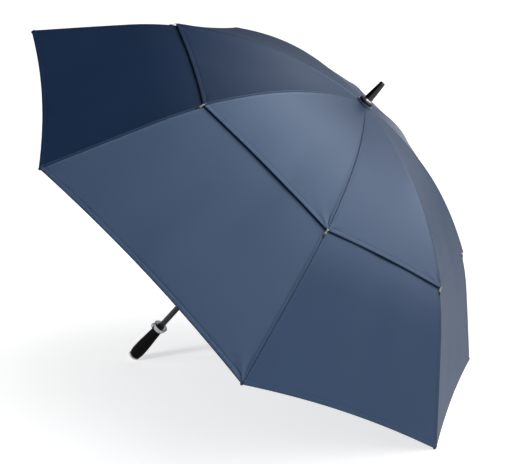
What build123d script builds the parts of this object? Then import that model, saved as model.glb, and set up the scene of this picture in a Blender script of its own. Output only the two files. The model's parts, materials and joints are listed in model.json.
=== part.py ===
"""Vented golf umbrella, open, at rest on its handle end and two neighbouring rib tips.

Every piece is drawn in place. SHAFT is the plane across the shaft: its local z runs up the shaft to
the ferrule, its local x points away from the shaft towards the floor side. The row's origin is on the
floor, under the middle of the bounding box, and +Z is up. All lengths are millimetres.
"""

from build123d import *
import os
from math import asin, atan, atan2, cos, degrees, hypot, radians, sin, tan

# Driving dimensions -------------------------------------------------------------------------------
RIM_RADIUS = 640.0  # shaft axis to the end of a rib tip, canopy open
RIB_COUNT = 8
HALF_GORE = 180.0 / RIB_COUNT  # half the angle between two ribs

# stations of the canopy line over a rib: share of the rim radius, slope below level in degrees
MAIN_STATIONS = [(0.016, 2.0), (0.33, 15.5), (0.56, 29.0), (0.76, 42.5), (1.0, 43.3)]
VENT_STATIONS = [(0.012, 1.0), (0.33, 15.1), (0.66, 31.6)]
VENT_END_HEIGHT = 0.3255 * RIM_RADIUS  # the vent line's height at its last station
VENT_RADIUS = 0.647 * RIM_RADIUS  # shaft axis to a corner of the vent canopy
MAIN_INNER_RADIUS = 0.55 * RIM_RADIUS  # where the main canopy starts, under the vent canopy
HEM_SETBACK = 7.0  # rim hem corner inside the end of the rib tip
HEM_SCALLOP = 0.015  # the middle of a hem is drawn in by this share of its distance
CLOTH = 0.5  # thickness of the canopy cloth
SEAM_GAP = 0.3  # between neighbouring gores
VENT_CLEARANCE = 1.5  # between the shaft and the vent canopy
GORE_CUT_FOOT = -20.0  # heights between which the wedge of a gore is cut
GORE_CUT_ABOVE = 10.0  # above the canopy line's top

SHAFT_RADIUS = 7.0
SHAFT_WALL = 0.9
SHAFT_TOP = 352.0
SHAFT_FOOT = -505.0
RUNNING_GAP = 0.06  # radial clearance of a running fit

RIB_DEPTH = 3.4
RIB_WIDTH = 3.0
RIB_DROP = 3.3  # rib centre line below the canopy line
FLEX_RADIUS = 0.645 * RIM_RADIUS  # where a rib bends as the canopy folds
FLEX_GAP = 0.3
TIP_RADIUS = 2.7
TIP_LENGTH = 11.0
TIP_COVER = 5.0  # length of rib end inside its tip

PIVOT_RADIUS = 10.0  # shaft axis to the pins of the notch and of the runner
PIN_RADIUS = 0.8
PIN_GAP = 0.05
PIN_LENGTH = 5.4
EYE_RADIUS = 2.0
STRETCHER_REACH = 0.52 * RIM_RADIUS  # shaft axis to a rib joint
LUG_DROP = 8.0  # rib joint pin below the rib's centre line
LUG_WIDTH = 2.0
LUG_RADIUS = 2.6
BRACKET_HALF = 8.0  # half the length of the saddle clipped round a rib
BRACKET_WALL = 0.9
STRETCHER_DEPTH = 3.0
STRETCHER_WIDTH = 2.4
CHEEK = 0.9  # thickness of a fork cheek
CHEEK_GAP = 0.2
FORK_MOUTH = 5.6  # from the rib joint to the bottom of the fork's slot
FORK_LENGTH = 13.6  # from the rib joint to the end of the fork
BAR_START = 6.6  # from the rib joint to the start of the bar
RIVET_HEAD = 0.6  # thickness of a rivet's head
RIVET_HEAD_RADIUS = 1.52

NOTCH_RADIUS = 14.5
NOTCH_BELOW = 5.0
NOTCH_ABOVE = 3.2
SLOT_GAP = 0.15  # on each side of a rib or stretcher in its slot
SLOT_FLOOR = 7.9  # radius of the bottom of a slot
RUNNER_SLEEVE_RADIUS = 10.5
RUNNER_SLEEVE_LENGTH = 42.0
RUNNER_CROWN = 5.5  # half height of the runner's slotted crown
RUNNER_CROWN_TAPER = 4.0
RUNNER_LIP = 1.5  # how far the lip at the runner's foot stands out
RUNNER_LIP_LENGTH = 4.0
RUNNER_LIP_TAPER = 2.0

ROSETTE_RADIUS = 18.5
ROSETTE_FOOT = 329.3
ROSETTE_THICKNESS = 1.2
COLLAR_RADIUS = 16.0
COLLAR_TOP_RADIUS = 13.0
COLLAR_HEIGHT = 7.0
COLLAR_STEP = 0.55  # share of the collar's height with a straight side
RING_RADIUS = 11.6
RING_HEIGHT = 3.2
RING_ARC = 45.0  # angle of the ring's rounded shoulder
FERRULE_BASE_RADIUS = 9.2
FERRULE_TIP_RADIUS = 5.9
FERRULE_TOP = 386.0
FERRULE_EDGE = 1.6

HANDLE_TOP = -427.0  # the rim of the cup at the top of the handle
HANDLE_END = -550.0
CUP_RIM_RADIUS = 18.5
CUP_FOOT_RADIUS = 14.4
CUP_HEIGHT = 13.0
CUP_WALL = 1.4
CUP_FLOOR = 2.0
CUP_BULGE = 0.9  # how far the cup's side bows out
CUP_HOLLOW = 0.6  # how far its inside bows out
CUP_EDGE = 0.7
CORE_RADIUS = 10.5
BOSS_RADIUS = 8.9
BOSS_DEPTH = 4.0  # below the cup's foot
BOSS_RISE = 2.0  # above the cup's rim
BOSS_CHAMFER = 1.2
GRIP_TOP_RADIUS = 12.6
GRIP_WAIST_RADIUS = 13.4
GRIP_BELLY_RADIUS = 16.2
GRIP_END_RADIUS = 14.0
GRIP_WAIST_DROP = 22.0  # from the top of the grip to its waist
GRIP_BELLY_RISE = 34.0  # from the foot of the grip to its widest place
GRIP_END_TAPER = 0.30  # how fast the grip narrows at its foot
END_CAP_RADIUS = 14.6
END_CAP_HEIGHT = 6.0
END_CAP_EDGE = 3.0  # radius of the end cap's rounded edge

BUTTON_AZIMUTH = 214.0
BUTTON_HEIGHT = -436.3  # height of the button's middle
BUTTON_WIDTH = 8.0
BUTTON_LENGTH = 11.0
BUTTON_TOP = 21.0  # shaft axis to the button's face
BUTTON_TRAVEL = 2.5
BUTTON_GAP = 0.2  # between the button and its bezel
BUTTON_EDGE = 1.4
BUTTON_FLAT = 0.5  # half the straight part of the button's short sides
BUTTON_FLOOR_GAP = 0.5  # under the pressed button
BEZEL_MARGIN = 1.8
BEZEL_FOOT = 11.0
BEZEL_TOP = 17.2
BUTTON_SPRING_RADIUS = 1.9
BUTTON_SPRING_WIRE = 0.3
BUTTON_SPRING_TURNS = 4
SPRING_FLOOR = 0.8  # shaft wall to the foot of the spring
SPRING_GAP = 0.1  # between the spring and the button


# Geometry helpers ---------------------------------------------------------------------------------
class Profile:
    """A line of tangent arcs through (radius, slope) stations, ending at a given height."""

    def __init__(self, stations, end_height):
        self.radii = [radius for radius, _ in stations]
        self.slopes = [radians(slope) for _, slope in stations]
        self.heights = [end_height]
        for i in range(len(stations) - 1, 0, -1):
            run = self.radii[i] - self.radii[i - 1]
            drop = run * tan((self.slopes[i] + self.slopes[i - 1]) / 2)
            self.heights.insert(0, self.heights[0] + drop)

    def slope(self, radius):
        """Slope below level at a radius, in radians."""
        i = max([k for k in range(len(self.radii) - 1) if self.radii[k] <= radius] or [0])
        share = (radius - self.radii[i]) / (self.radii[i + 1] - self.radii[i])
        first, last = sin(self.slopes[i]), sin(self.slopes[i + 1])
        return asin(first + share * (last - first))

    def at(self, radius, offset=0.0):
        """(radius, height) of the point at a radius, moved outward along the line's normal."""
        i = max([k for k in range(len(self.radii) - 1) if self.radii[k] <= radius] or [0])
        slope = self.slope(radius)
        height = self.heights[i] - (radius - self.radii[i]) * tan((self.slopes[i] + slope) / 2)
        return (radius + offset * sin(slope), height + offset * cos(slope))

    def narrowed(self, share):
        """The same line seen in the plane halfway between two ribs."""
        stations = [
            (radius * share, degrees(atan(tan(slope) / share)))
            for radius, slope in zip(self.radii, self.slopes)
        ]
        return Profile(stations, self.heights[-1])


def draw_strip(profile, start, end, low, high):
    """Closed outline between two offsets of a profile, drawn in the current line builder."""
    inside = [start] + [radius for radius in profile.radii if start < radius < end] + [end]
    for offset, path in ((high, inside), (low, inside[::-1])):
        for a, b in zip(path, path[1:]):
            ThreePointArc(
                profile.at(a, offset), profile.at((a + b) / 2, offset), profile.at(b, offset)
            )
    Line(profile.at(end, high), profile.at(end, low))
    Line(profile.at(start, low), profile.at(start, high))


main_line = Profile([(share * RIM_RADIUS, slope) for share, slope in MAIN_STATIONS], 0.0)
vent_line = Profile(
    [(share * RIM_RADIUS, slope) for share, slope in VENT_STATIONS], VENT_END_HEIGHT
)
NARROW = cos(radians(HALF_GORE))
main_gore_line = main_line.narrowed(NARROW)
vent_gore_line = vent_line.narrowed(NARROW)

# The folding linkage, in a rib's plane: (radius, height)
notch_pivot = (PIVOT_RADIUS, main_line.at(PIVOT_RADIUS * 1.03, -RIB_DROP)[1])
rib_joint = main_line.at(STRETCHER_REACH, -RIB_DROP - LUG_DROP)
runner_pivot = (PIVOT_RADIUS, 2 * rib_joint[1] - notch_pivot[1])
flex_point = main_line.at(FLEX_RADIUS, -RIB_DROP)
tip_centre = main_line.at(RIM_RADIUS - TIP_RADIUS * cos(main_line.slope(RIM_RADIUS)), -RIB_DROP)

# The resting pose: the floor touches the end cap's rounded edge and the balls of two rib tips
cap_edge = (END_CAP_RADIUS - END_CAP_EDGE, HANDLE_END + END_CAP_EDGE)
resting_tip = (tip_centre[0] * NARROW, tip_centre[1])
edge_to_tip = (resting_tip[0] - cap_edge[0], resting_tip[1] - cap_edge[1])
LEAN = atan2(edge_to_tip[1], edge_to_tip[0]) - asin(
    (TIP_RADIUS - END_CAP_EDGE) / hypot(*edge_to_tip)
)
shaft_height = cap_edge[0] * sin(LEAN) - cap_edge[1] * cos(LEAN) + END_CAP_EDGE
front_reach = resting_tip[0] * cos(LEAN) + resting_tip[1] * sin(LEAN)
back_reach = -resting_tip[0] * cos(LEAN) + resting_tip[1] * sin(LEAN)
SHAFT = Plane(
    origin=(-(front_reach + back_reach) / 2, 0, shaft_height),
    x_dir=(cos(LEAN), 0, -sin(LEAN)),
    z_dir=(sin(LEAN), 0, cos(LEAN)),
)
SHAFT_AXIS = Axis(SHAFT.origin, SHAFT.z_dir)


def outward(azimuth):
    """Unit vector away from the shaft at an azimuth in degrees; 0 is the floor side."""
    return SHAFT.x_dir * cos(radians(azimuth)) + SHAFT.y_dir * sin(radians(azimuth))


def slice_plane(azimuth):
    """Plane through the shaft: local x points outward, local y up the shaft."""
    direction = outward(azimuth)
    return Plane(origin=SHAFT.origin, x_dir=direction, z_dir=direction.cross(SHAFT.z_dir))


def deck(height, azimuth=0.0):
    """Plane across the shaft at a height, with local x at an azimuth."""
    origin = SHAFT.origin + SHAFT.z_dir * height
    return Plane(origin=origin, x_dir=outward(azimuth), z_dir=SHAFT.z_dir)


def side_plane(azimuth, radius, height):
    """Plane facing outward at a radius: local y runs up the shaft."""
    origin = SHAFT.origin + outward(azimuth) * radius + SHAFT.z_dir * height
    return Plane(origin=origin, x_dir=SHAFT.z_dir.cross(outward(azimuth)), z_dir=outward(azimuth))


def place(azimuth, point):
    """The row's position of a (radius, height) point in a rib's plane."""
    return SHAFT.origin + outward(azimuth) * point[0] + SHAFT.z_dir * point[1]


def along(start, end, distance):
    """The (radius, height) point at a distance from start towards end."""
    length = hypot(end[0] - start[0], end[1] - start[1])
    share = distance / length
    return (start[0] + (end[0] - start[0]) * share, start[1] + (end[1] - start[1]) * share)


def draw_bar(start, end, depth):
    """Closed outline of a straight bar between two (radius, height) points."""
    length = hypot(end[0] - start[0], end[1] - start[1])
    side_x = -(end[1] - start[1]) / length * depth / 2
    side_y = (end[0] - start[0]) / length * depth / 2
    Polyline(
        (start[0] + side_x, start[1] + side_y),
        (end[0] + side_x, end[1] + side_y),
        (end[0] - side_x, end[1] - side_y),
        (start[0] - side_x, start[1] - side_y),
        close=True,
    )


def save(piece, name):
    """Label a finished piece and write its STEP file."""
    piece.label = name
    export_step(piece, f"parts/{name}.step")


os.makedirs("parts", exist_ok=True)
rib_azimuths = [(2 * k - 1) * HALF_GORE for k in range(RIB_COUNT)]
gore_azimuths = [2 * k * HALF_GORE for k in range(RIB_COUNT)]


# Shaft and crown ----------------------------------------------------------------------------------
with BuildPart() as shaft_tube:
    with BuildSketch(deck(SHAFT_FOOT)):
        Circle(SHAFT_RADIUS)
        Circle(SHAFT_RADIUS - SHAFT_WALL, mode=Mode.SUBTRACT)
    extrude(amount=SHAFT_TOP - SHAFT_FOOT)
save(shaft_tube.part, "shaft_tube")


def slot_outlines(width, bottom):
    """Outlines of the slots for a ring of hinged links, on the deck at the slots' bottom."""
    with BuildSketch(deck(bottom, HALF_GORE)) as outlines:
        with PolarLocations(SLOT_FLOOR + NOTCH_RADIUS / 2, RIB_COUNT):
            Rectangle(NOTCH_RADIUS, width)
    return outlines.sketch


def make_pins(pivot):
    """The pins of one ring of hinges, as separate solids."""
    with BuildPart() as pins:
        for azimuth in rib_azimuths:
            with BuildSketch(slice_plane(azimuth)):
                with Locations(pivot):
                    Circle(PIN_RADIUS)
            extrude(amount=PIN_LENGTH / 2, both=True)
    return pins.part


notch_foot = notch_pivot[1] - NOTCH_BELOW
notch_pins = make_pins(notch_pivot)
with BuildPart() as top_notch:
    with BuildSketch(deck(notch_foot)):
        Circle(NOTCH_RADIUS)
        Circle(SHAFT_RADIUS, mode=Mode.SUBTRACT)
    extrude(amount=NOTCH_BELOW + NOTCH_ABOVE)
    notch_slots = slot_outlines(RIB_WIDTH + 2 * SLOT_GAP, notch_foot)
    extrude(notch_slots, amount=NOTCH_BELOW + NOTCH_ABOVE, mode=Mode.SUBTRACT)
    add(notch_pins, mode=Mode.SUBTRACT)
save(top_notch.part, "top_notch")
save(notch_pins, "notch_pins")

with BuildPart() as rosette:
    with BuildSketch(deck(ROSETTE_FOOT)):
        Circle(ROSETTE_RADIUS)
        Circle(SHAFT_RADIUS, mode=Mode.SUBTRACT)
    extrude(amount=ROSETTE_THICKNESS)
save(rosette.part, "rosette")

collar_foot = ROSETTE_FOOT + ROSETTE_THICKNESS
collar_top = collar_foot + COLLAR_HEIGHT
collar_step = collar_foot + COLLAR_HEIGHT * COLLAR_STEP
with BuildPart() as ferrule_collar:
    with BuildSketch(slice_plane(0)):
        with BuildLine():
            Polyline(
                (SHAFT_RADIUS, collar_top),
                (SHAFT_RADIUS, collar_foot),
                (COLLAR_RADIUS, collar_foot),
                (COLLAR_RADIUS, collar_step),
            )
            TangentArc((COLLAR_RADIUS, collar_step), (COLLAR_TOP_RADIUS, collar_top), tangent=(0, 1))
            Line((COLLAR_TOP_RADIUS, collar_top), (SHAFT_RADIUS, collar_top))
        make_face()
    revolve(axis=SHAFT_AXIS)
save(ferrule_collar.part, "ferrule_collar")

ring_top = collar_top + RING_HEIGHT
ring_side = RING_RADIUS - FERRULE_BASE_RADIUS
with BuildPart() as ferrule_ring:
    with BuildSketch(slice_plane(0)):
        with BuildLine():
            Polyline(
                (FERRULE_BASE_RADIUS, ring_top),
                (FERRULE_BASE_RADIUS, collar_top),
                (RING_RADIUS, collar_top),
            )
            shoulder = CenterArc((FERRULE_BASE_RADIUS, collar_top), ring_side, 0, RING_ARC)
            Line(shoulder @ 1, (FERRULE_BASE_RADIUS, ring_top))
        make_face()
    revolve(axis=SHAFT_AXIS)
save(ferrule_ring.part, "ferrule_ring")

with BuildPart() as ferrule:
    with BuildSketch(slice_plane(0)):
        with BuildLine():
            Polyline(
                (0, SHAFT_TOP),
                (SHAFT_RADIUS, SHAFT_TOP),
                (SHAFT_RADIUS, collar_top),
                (FERRULE_BASE_RADIUS, collar_top),
                (FERRULE_BASE_RADIUS, ring_top),
                (FERRULE_TIP_RADIUS, FERRULE_TOP - FERRULE_EDGE),
                (FERRULE_TIP_RADIUS - FERRULE_EDGE, FERRULE_TOP),
                (0, FERRULE_TOP),
                close=True,
            )
        make_face()
    revolve(axis=SHAFT_AXIS)
save(ferrule.part, "ferrule")


# Runner -------------------------------------------------------------------------------------------
crown_foot = runner_pivot[1] - RUNNER_CROWN
sleeve_foot = crown_foot - RUNNER_SLEEVE_LENGTH
bore_radius = SHAFT_RADIUS + RUNNING_GAP
lip_radius = RUNNER_SLEEVE_RADIUS + RUNNER_LIP
runner_pins = make_pins(runner_pivot)
with BuildPart() as runner:
    with BuildSketch(slice_plane(0)):
        with BuildLine():
            Polyline(
                (bore_radius, runner_pivot[1] + RUNNER_CROWN),
                (bore_radius, sleeve_foot),
                (lip_radius, sleeve_foot),
                (lip_radius, sleeve_foot + RUNNER_LIP_LENGTH),
                (RUNNER_SLEEVE_RADIUS, sleeve_foot + RUNNER_LIP_LENGTH + RUNNER_LIP_TAPER),
                (RUNNER_SLEEVE_RADIUS, crown_foot - RUNNER_CROWN_TAPER),
                (NOTCH_RADIUS, crown_foot),
                (NOTCH_RADIUS, runner_pivot[1] + RUNNER_CROWN),
                close=True,
            )
        make_face()
    revolve(axis=SHAFT_AXIS)
    runner_slots = slot_outlines(STRETCHER_WIDTH + 2 * SLOT_GAP, crown_foot)
    extrude(runner_slots, amount=2 * RUNNER_CROWN, mode=Mode.SUBTRACT)
    add(runner_pins, mode=Mode.SUBTRACT)
save(runner.part, "runner")
save(runner_pins, "runner_pins")


# Ribs and stretchers ------------------------------------------------------------------------------
def make_rib(azimuth):
    """Inner length of a rib, from its eye in the notch to the place where it bends."""
    with BuildPart() as rod:
        with BuildSketch(slice_plane(azimuth)):
            with BuildLine():
                low, high = -RIB_DROP - RIB_DEPTH / 2, -RIB_DROP + RIB_DEPTH / 2
                draw_strip(main_line, main_line.radii[0], FLEX_RADIUS, low, high)
            make_face()
            with Locations(notch_pivot):
                Circle(EYE_RADIUS)
                Circle(PIN_RADIUS + PIN_GAP, mode=Mode.SUBTRACT)
            with Locations(flex_point):
                Circle(RIB_DEPTH / 2 + FLEX_GAP, mode=Mode.SUBTRACT)
        extrude(amount=RIB_WIDTH / 2, both=True)
    return rod.part


def make_bracket(azimuth, rod):
    """Saddle clipped round a rib, with the lug that carries the stretcher's pin."""
    saddle_low = -RIB_DROP - RIB_DEPTH / 2 - BRACKET_WALL
    saddle_high = -RIB_DROP + RIB_DEPTH / 2
    with BuildPart() as bracket:
        with BuildSketch(slice_plane(azimuth)):
            with BuildLine():
                ends = (STRETCHER_REACH - BRACKET_HALF, STRETCHER_REACH + BRACKET_HALF)
                draw_strip(main_line, *ends, saddle_low, saddle_high)
            make_face()
        extrude(amount=RIB_WIDTH / 2 + BRACKET_WALL, both=True)
        add(rod, mode=Mode.SUBTRACT)
        with BuildSketch(slice_plane(azimuth)):
            with BuildLine():
                root = main_line.at(STRETCHER_REACH, saddle_low + BRACKET_WALL / 2)
                draw_bar(rib_joint, root, 2 * LUG_RADIUS)
            make_face()
            with Locations(rib_joint):
                Circle(LUG_RADIUS)
        extrude(amount=LUG_WIDTH / 2, both=True)
        with BuildSketch(slice_plane(azimuth)):
            with Locations(rib_joint):
                Circle(PIN_RADIUS + PIN_GAP)
        extrude(amount=LUG_WIDTH, both=True, mode=Mode.SUBTRACT)
    return bracket.part


def make_rib_end(azimuth):
    """Outer length of a rib, from the place where it bends to inside its tip."""
    with BuildPart() as rod:
        with BuildSketch(slice_plane(azimuth)):
            with BuildLine():
                low, high = -RIB_DROP - RIB_DEPTH / 2, -RIB_DROP + RIB_DEPTH / 2
                stop = RIM_RADIUS - (TIP_LENGTH - TIP_COVER) * NARROW
                draw_strip(main_line, FLEX_RADIUS, stop, low, high)
            make_face()
            with Locations(flex_point):
                Circle(RIB_DEPTH / 2)
        extrude(amount=RIB_WIDTH / 2, both=True)
    return rod.part


def make_tip(azimuth, rod):
    """Ball-ended cap on the outer end of a rib."""
    slope = main_line.slope(RIM_RADIUS)
    direction = outward(azimuth) * cos(slope) - SHAFT.z_dir * sin(slope)
    centre = place(azimuth, tip_centre)
    start = Plane(origin=centre - direction * (TIP_LENGTH - TIP_RADIUS), z_dir=direction)
    with BuildPart() as tip:
        with BuildSketch(start):
            Circle(TIP_RADIUS)
        extrude(amount=TIP_LENGTH - TIP_RADIUS)
        with Locations(centre):
            Sphere(TIP_RADIUS)
        add(rod, mode=Mode.SUBTRACT)
    return tip.part


def make_stretcher(azimuth):
    """Straight link: a fork on the rib's lug, a bar, and an eye in the runner's crown."""
    cheek_face = LUG_WIDTH / 2 + CHEEK_GAP
    fork_root = along(rib_joint, runner_pivot, FORK_MOUTH)
    fork_foot = along(rib_joint, runner_pivot, FORK_LENGTH)
    bar_start = along(rib_joint, runner_pivot, BAR_START)
    slot_start = along(rib_joint, runner_pivot, -2 * LUG_RADIUS)
    with BuildPart() as link:
        with BuildSketch(slice_plane(azimuth)):
            with BuildLine():
                draw_bar(rib_joint, fork_foot, 2 * LUG_RADIUS)
            make_face()
            with Locations(rib_joint):
                Circle(LUG_RADIUS)
        extrude(amount=cheek_face + CHEEK, both=True)
        with BuildSketch(slice_plane(azimuth)):
            with BuildLine():
                draw_bar(slot_start, fork_root, 4 * LUG_RADIUS)
            make_face()
        extrude(amount=cheek_face, both=True, mode=Mode.SUBTRACT)
        with BuildSketch(slice_plane(azimuth)):
            with BuildLine():
                draw_bar(bar_start, runner_pivot, STRETCHER_DEPTH)
            make_face()
            with Locations(runner_pivot):
                Circle(EYE_RADIUS)
                Circle(PIN_RADIUS + PIN_GAP, mode=Mode.SUBTRACT)
        extrude(amount=STRETCHER_WIDTH / 2, both=True)
        with BuildSketch(slice_plane(azimuth)):
            with Locations(rib_joint):
                Circle(PIN_RADIUS)
        extrude(amount=cheek_face + CHEEK, both=True, mode=Mode.SUBTRACT)
    return link.part


def make_rivet(azimuth):
    """Pin through a stretcher's fork and the rib's lug, with a flat head at each end."""
    half = LUG_WIDTH / 2 + CHEEK_GAP + CHEEK
    with BuildPart() as rivet:
        with BuildSketch(slice_plane(azimuth)):
            with Locations(rib_joint):
                Circle(PIN_RADIUS)
        extrude(amount=half + RIVET_HEAD, both=True)
        for side in (1, -1):
            with BuildSketch(slice_plane(azimuth).offset(side * half)):
                with Locations(rib_joint):
                    Circle(RIVET_HEAD_RADIUS)
            extrude(amount=side * RIVET_HEAD)
    return rivet.part


# Canopy -------------------------------------------------------------------------------------------
def make_gore(azimuth, line, inner, corner_radius):
    """Cloth between two ribs: straight across, curved along, with a hem that is drawn in."""
    tilt = tan(radians(HALF_GORE))
    apex = SEAM_GAP / 2 / sin(radians(HALF_GORE))
    corner = corner_radius * NARROW
    corner_side = (corner - apex) * tilt
    top = line.heights[0] + GORE_CUT_ABOVE
    with BuildPart() as gore:
        with BuildSketch(slice_plane(azimuth)):
            with BuildLine():
                draw_strip(line, inner, corner + CLOTH, -CLOTH / 2, CLOTH / 2)
            make_face()
        extrude(amount=corner * tilt, both=True)
        with BuildSketch(deck(GORE_CUT_FOOT, azimuth)):
            with BuildLine():
                Line((apex, 0), (corner, corner_side))
                middle = (corner * (1 - HEM_SCALLOP), 0)
                ThreePointArc((corner, corner_side), middle, (corner, -corner_side))
                Line((corner, -corner_side), (apex, 0))
            make_face()
        extrude(amount=top - GORE_CUT_FOOT, mode=Mode.INTERSECT)
    return gore.part


for number, azimuth in enumerate(rib_azimuths, 1):
    rib_rod = make_rib(azimuth)
    save(Compound(children=[rib_rod, make_bracket(azimuth, rib_rod)]), f"rib_{number}")
    end_rod = make_rib_end(azimuth)
    save(Compound(children=[end_rod, make_tip(azimuth, end_rod)]), f"rib_end_{number}")
    save(Compound(children=[make_stretcher(azimuth), make_rivet(azimuth)]), f"stretcher_{number}")

vent_inner = SHAFT_RADIUS + VENT_CLEARANCE
main_inner = MAIN_INNER_RADIUS * NARROW
hem_radius = RIM_RADIUS - HEM_SETBACK
for number, azimuth in enumerate(gore_azimuths, 1):
    save(make_gore(azimuth, vent_gore_line, vent_inner, VENT_RADIUS), f"vent_gore_{number}")
    save(make_gore(azimuth, main_gore_line, main_inner, hem_radius), f"main_gore_{number}")


# Handle -------------------------------------------------------------------------------------------
cup_foot = HANDLE_TOP - CUP_HEIGHT
boss_foot = cup_foot - BOSS_DEPTH
core_foot = HANDLE_END + END_CAP_HEIGHT
bezel_width = BUTTON_WIDTH + 2 * BEZEL_MARGIN
bezel_length = BUTTON_LENGTH + 2 * BEZEL_MARGIN
spring_foot = SHAFT_RADIUS + SPRING_FLOOR
button_foot = BEZEL_FOOT + BUTTON_TRAVEL + BUTTON_FLOOR_GAP

bezel_corner = bezel_width / 2 - BUTTON_FLAT
with BuildSketch(side_plane(BUTTON_AZIMUTH, BEZEL_FOOT, BUTTON_HEIGHT)) as bezel_outline:
    RectangleRounded(bezel_width, bezel_length, bezel_corner)
with BuildSketch(side_plane(BUTTON_AZIMUTH, spring_foot, BUTTON_HEIGHT)) as spring_bore:
    Circle(BUTTON_SPRING_RADIUS + 2 * BUTTON_SPRING_WIRE)

with BuildPart() as handle_core:
    with BuildSketch(slice_plane(0)):
        with BuildLine():
            Polyline(
                (0, SHAFT_FOOT),
                (SHAFT_RADIUS, SHAFT_FOOT),
                (SHAFT_RADIUS, boss_foot),
                (CORE_RADIUS, boss_foot),
                (CORE_RADIUS, core_foot),
                (0, core_foot),
                close=True,
            )
        make_face()
    revolve(axis=SHAFT_AXIS)
save(handle_core.part, "handle_core")

with BuildPart() as handle_grip:
    with BuildSketch(slice_plane(0)):
        with BuildLine():
            Line((CORE_RADIUS, core_foot), (CORE_RADIUS, cup_foot))
            Line((CORE_RADIUS, cup_foot), (GRIP_TOP_RADIUS, cup_foot))
            Spline(
                (GRIP_TOP_RADIUS, cup_foot),
                (GRIP_WAIST_RADIUS, cup_foot - GRIP_WAIST_DROP),
                (GRIP_BELLY_RADIUS, core_foot + GRIP_BELLY_RISE),
                (GRIP_END_RADIUS, core_foot),
                tangents=[(0, -1), (-GRIP_END_TAPER, -1)],
            )
            Line((GRIP_END_RADIUS, core_foot), (CORE_RADIUS, core_foot))
        make_face()
    revolve(axis=SHAFT_AXIS)
    extrude(bezel_outline.sketch, amount=2 * CUP_RIM_RADIUS, mode=Mode.SUBTRACT)
save(handle_grip.part, "handle_grip")

cup_middle = HANDLE_TOP - CUP_HEIGHT / 2
cup_side = (CUP_FOOT_RADIUS + CUP_RIM_RADIUS) / 2 + CUP_BULGE
rim_outside = (CUP_RIM_RADIUS, HANDLE_TOP - CUP_EDGE)
rim_inside = (CUP_RIM_RADIUS - CUP_WALL, HANDLE_TOP - CUP_EDGE)
with BuildPart() as handle_cup:
    with BuildSketch(slice_plane(0)):
        with BuildLine():
            Polyline(
                (CORE_RADIUS, cup_foot + CUP_FLOOR),
                (CORE_RADIUS, cup_foot),
                (CUP_FOOT_RADIUS, cup_foot),
            )
            ThreePointArc((CUP_FOOT_RADIUS, cup_foot), (cup_side, cup_middle), rim_outside)
            Polyline(rim_outside, (CUP_RIM_RADIUS - CUP_EDGE, HANDLE_TOP), rim_inside)
            ThreePointArc(
                rim_inside,
                (CUP_FOOT_RADIUS + CUP_HOLLOW, cup_middle),
                (CORE_RADIUS, cup_foot + CUP_FLOOR),
            )
        make_face()
    revolve(axis=SHAFT_AXIS)
    extrude(bezel_outline.sketch, amount=2 * CUP_RIM_RADIUS, mode=Mode.SUBTRACT)
    extrude(spring_bore.sketch, amount=CORE_RADIUS, mode=Mode.SUBTRACT)
save(handle_cup.part, "handle_cup")

with BuildPart() as handle_boss:
    with BuildSketch(deck(boss_foot)):
        Circle(BOSS_RADIUS)
        Circle(SHAFT_RADIUS, mode=Mode.SUBTRACT)
    extrude(amount=HANDLE_TOP + BOSS_RISE - boss_foot)
    chamfer(handle_boss.faces().sort_by(SHAFT_AXIS)[-1].outer_wire().edges(), BOSS_CHAMFER)
    extrude(spring_bore.sketch, amount=CORE_RADIUS, mode=Mode.SUBTRACT)
save(handle_boss.part, "handle_boss")

with BuildPart() as end_cap:
    with BuildSketch(deck(HANDLE_END)):
        Circle(END_CAP_RADIUS)
    extrude(amount=END_CAP_HEIGHT)
    fillet(end_cap.faces().sort_by(SHAFT_AXIS)[0].edges(), END_CAP_EDGE)
save(end_cap.part, "end_cap")

with BuildPart() as button_bezel:
    with BuildSketch(side_plane(BUTTON_AZIMUTH, BEZEL_FOOT, BUTTON_HEIGHT)):
        RectangleRounded(bezel_width, bezel_length, bezel_corner)
        width, length = BUTTON_WIDTH + 2 * BUTTON_GAP, BUTTON_LENGTH + 2 * BUTTON_GAP
        RectangleRounded(width, length, width / 2 - BUTTON_FLAT, mode=Mode.SUBTRACT)
    extrude(amount=BEZEL_TOP - BEZEL_FOOT)
save(button_bezel.part, "button_bezel")

with BuildPart() as push_button:
    with BuildSketch(side_plane(BUTTON_AZIMUTH, button_foot, BUTTON_HEIGHT)):
        RectangleRounded(BUTTON_WIDTH, BUTTON_LENGTH, BUTTON_WIDTH / 2 - BUTTON_FLAT)
    extrude(amount=BUTTON_TOP - button_foot)
    crown = push_button.faces().sort_by(Axis(SHAFT.origin, outward(BUTTON_AZIMUTH)))[-1]
    fillet(crown.edges(), BUTTON_EDGE)
save(push_button.part, "push_button")

spring_low = spring_foot + BUTTON_SPRING_WIRE
spring_rise = button_foot - 2 * BUTTON_SPRING_WIRE - spring_foot - SPRING_GAP
with BuildPart() as button_spring:
    with BuildLine() as spring_line:
        Helix(
            pitch=spring_rise / BUTTON_SPRING_TURNS,
            height=spring_rise,
            radius=BUTTON_SPRING_RADIUS,
            center=side_plane(BUTTON_AZIMUTH, spring_low, BUTTON_HEIGHT).origin,
            direction=outward(BUTTON_AZIMUTH),
        )
    spring_start = Plane(origin=spring_line.line @ 0, z_dir=spring_line.line % 0)
    with BuildSketch(spring_start):
        Circle(BUTTON_SPRING_WIRE)
    sweep(path=spring_line.line)
save(button_spring.part, "button_spring")
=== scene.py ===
"""Vented golf umbrella: the cloth, seams, hems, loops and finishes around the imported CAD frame.

All lengths are metres in the row's frame. Canopy points are worked out in the shaft's own frame:
a radius from the shaft's axis, a height along it and an azimuth, 0 on the floor side.
"""

import json
from math import asin, atan, cos, degrees, pi, radians, sin, tan

import bpy
import numpy as np
from mathutils import Matrix, Vector, noise


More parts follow.
